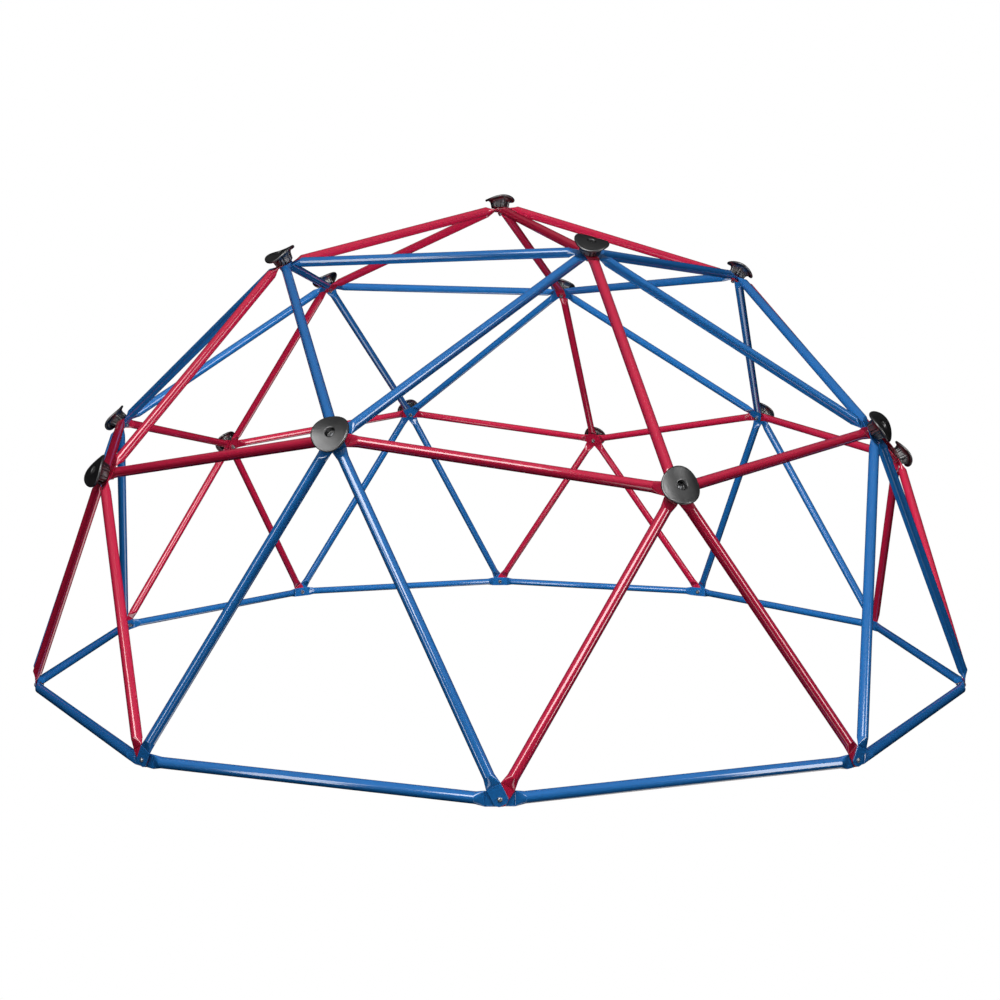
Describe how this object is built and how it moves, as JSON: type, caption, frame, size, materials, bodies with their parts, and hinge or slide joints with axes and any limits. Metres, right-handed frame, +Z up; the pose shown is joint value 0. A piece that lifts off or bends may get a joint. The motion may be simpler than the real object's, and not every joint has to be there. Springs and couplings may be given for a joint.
{
  "type": "dome climber",
  "caption": "Half-dome climbing frame of straight steel tubes with flattened, bolted ends, and moulded hand-grip caps on the raised hubs.",
  "frame": {"origin": "on the ground, below the top hub, at the centre of the ring of ground hubs", "axes": "+Z up; +X through one of the five red spokes of the top hub; +Y through a ground hub at the greatest width"},
  "size_m": [2.8994, 3.0191, 1.5637],
  "materials": {
    "red_paint": "gloss powder coat",
    "blue_paint": "gloss powder coat",
    "black_plastic": "moulded, semi-gloss",
    "zinc_steel": "bright zinc plate"
  },
  "bodies": {
    "root": {"apex_spoke_1": "red_paint", "apex_spoke_2": "red_paint", "apex_spoke_3": "red_paint", "apex_spoke_4": "red_paint", "apex_spoke_5": "red_paint", "upper_hoop_tube_1": "blue_paint", "upper_hoop_tube_2": "blue_paint", "upper_hoop_tube_3": "blue_paint", "upper_hoop_tube_4": "blue_paint", "upper_hoop_tube_5": "blue_paint", "upper_rib_1": "red_paint", "upper_rib_2": "red_paint", "upper_rib_3": "red_paint", "upper_rib_4": "red_paint", "upper_rib_5": "red_paint", "upper_diagonal_pair_1": "blue_paint", "upper_diagonal_pair_2": "blue_paint", "upper_diagonal_pair_3": "blue_paint", "upper_diagonal_pair_4": "blue_paint", "upper_diagonal_pair_5": "blue_paint", "middle_hoop_pair_1": "red_paint", "middle_hoop_pair_2": "red_paint", "middle_hoop_pair_3": "red_paint", "middle_hoop_pair_4": "red_paint", "middle_hoop_pair_5": "red_paint", "red_leg_pair_1": "red_paint", "red_leg_pair_2": "red_paint", "red_leg_pair_3": "red_paint", "red_leg_pair_4": "red_paint", "red_leg_pair_5": "red_paint", "blue_leg_pair_1": "blue_paint", "blue_leg_pair_2": "blue_paint", "blue_leg_pair_3": "blue_paint", "blue_leg_pair_4": "blue_paint", "blue_leg_pair_5": "blue_paint", "base_hoop_pair_1": "blue_paint", "base_hoop_pair_2": "blue_paint", "base_hoop_pair_3": "blue_paint", "base_hoop_pair_4": "blue_paint", "base_hoop_pair_5": "blue_paint", "apex_cap": "black_plastic", "upper_cap_1": "black_plastic", "upper_cap_2": "black_plastic", "upper_cap_3": "black_plastic", "upper_cap_4": "black_plastic", "upper_cap_5": "black_plastic", "middle_cap_1": "black_plastic", "middle_cap_2": "black_plastic", "middle_cap_3": "black_plastic", "middle_cap_4": "black_plastic", "middle_cap_5": "black_plastic", "middle_cap_6": "black_plastic", "middle_cap_7": "black_plastic", "middle_cap_8": "black_plastic", "middle_cap_9": "black_plastic", "middle_cap_10": "black_plastic", "cap_bolts": "zinc_steel", "base_bolts": "zinc_steel", "washers": "zinc_steel", "lock_nuts": "zinc_steel"}
  },
  "joints": []
}
